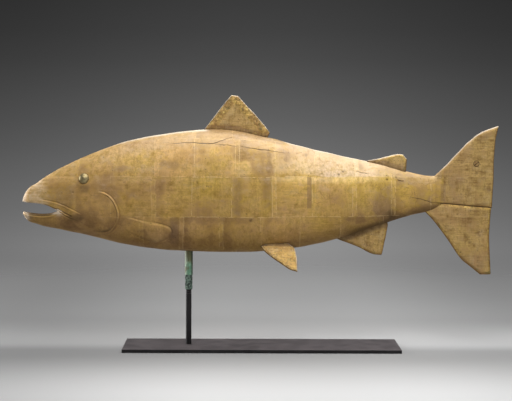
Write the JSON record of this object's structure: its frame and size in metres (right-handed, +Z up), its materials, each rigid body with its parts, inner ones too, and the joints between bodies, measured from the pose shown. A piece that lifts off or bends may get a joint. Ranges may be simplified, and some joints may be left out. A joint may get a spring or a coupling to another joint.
{
  "type": "fish weathervane",
  "caption": "Carved and gilded wooden salmon weathervane on a pivot tube, turning on a steel rod that stands on a long flat plate.",
  "frame": {"origin": "on the floor under the middle of the whole object's box, near the middle of the base plate's underside", "axes": "+X from the nose to the tail, +Y from the fish's left side to its right side, +Z up"},
  "size_m": [0.944, 0.152, 0.5023],
  "materials": {
    "gilded_wood": "worn gold leaf in square sheets over carved pine, satin, brown where it is rubbed",
    "eye_brass": "dull brass with a greenish cast",
    "gilded_screw": "slotted screw head, gilded over and tarnished",
    "verdigris_copper": "copper tube with green verdigris, matt and mottled",
    "black_steel": "satin black paint on steel"
  },
  "bodies": {
    "stand": {"base_plate": "black_steel", "stand_rod": "black_steel"},
    "vane": {"fish_body": "gilded_wood", "dorsal_fin": "gilded_wood", "adipose_fin": "gilded_wood", "anal_fin": "gilded_wood", "pelvic_fin_left": "gilded_wood", "pelvic_fin_right": "gilded_wood", "tail_lower_lobe": "gilded_wood", "eye_left": "eye_brass", "eye_right": "eye_brass", "tail_screw": "gilded_screw", "pivot_tube": "verdigris_copper"}
  },
  "joints": [
    {"name": "vane_turn", "type": "hinge", "parent": "stand", "child": "vane", "pos_m": [-0.141, 0, 0.2935], "axis": [0, 0, 1], "continuous": true}
  ]
}
